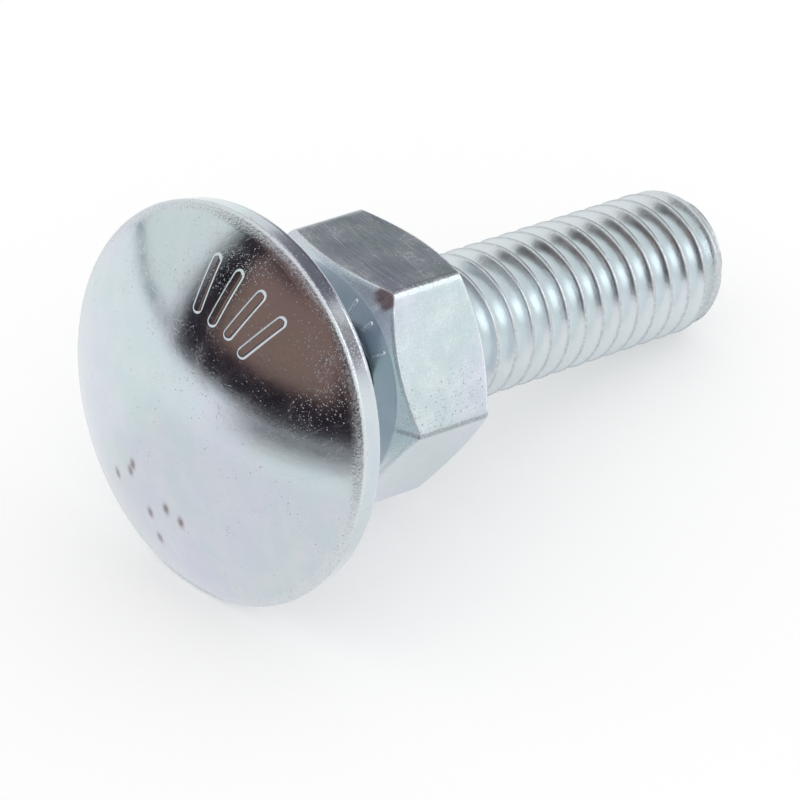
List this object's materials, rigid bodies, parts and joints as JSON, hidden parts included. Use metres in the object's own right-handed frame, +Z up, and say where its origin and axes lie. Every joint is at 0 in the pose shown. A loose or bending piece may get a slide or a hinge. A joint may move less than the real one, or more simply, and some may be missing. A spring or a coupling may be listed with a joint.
{
  "type": "carriage bolt with hex nut",
  "caption": "Zinc-plated cup-head bolt with a square neck, threaded to the neck, and a hexagon nut run up against the neck.",
  "frame": {"origin": "on the surface that the bolt lies on, at the middle of its length and width", "axes": "+X from the head towards the thread's end, seen from above; +Z up; the bolt's own axis lies in the XZ plane and slopes down by 11.71 degrees towards the thread's end"},
  "size_m": [0.0286, 0.016, 0.0157],
  "materials": {
    "bolt_zinc": "bright zinc plating with a clear passivated finish, lightly scratched and pitted",
    "nut_zinc": "bright zinc plating with a clear passivated finish, lightly scratched"
  },
  "bodies": {
    "bolt": {"bolt": "bolt_zinc"},
    "nut": {"nut": "nut_zinc"}
  },
  "joints": [
    {"name": "nut_travel", "type": "slide", "parent": "bolt", "child": "nut", "axis": [0.9792, 0, -0.203], "range_m": [0, 0.016]}
  ]
}
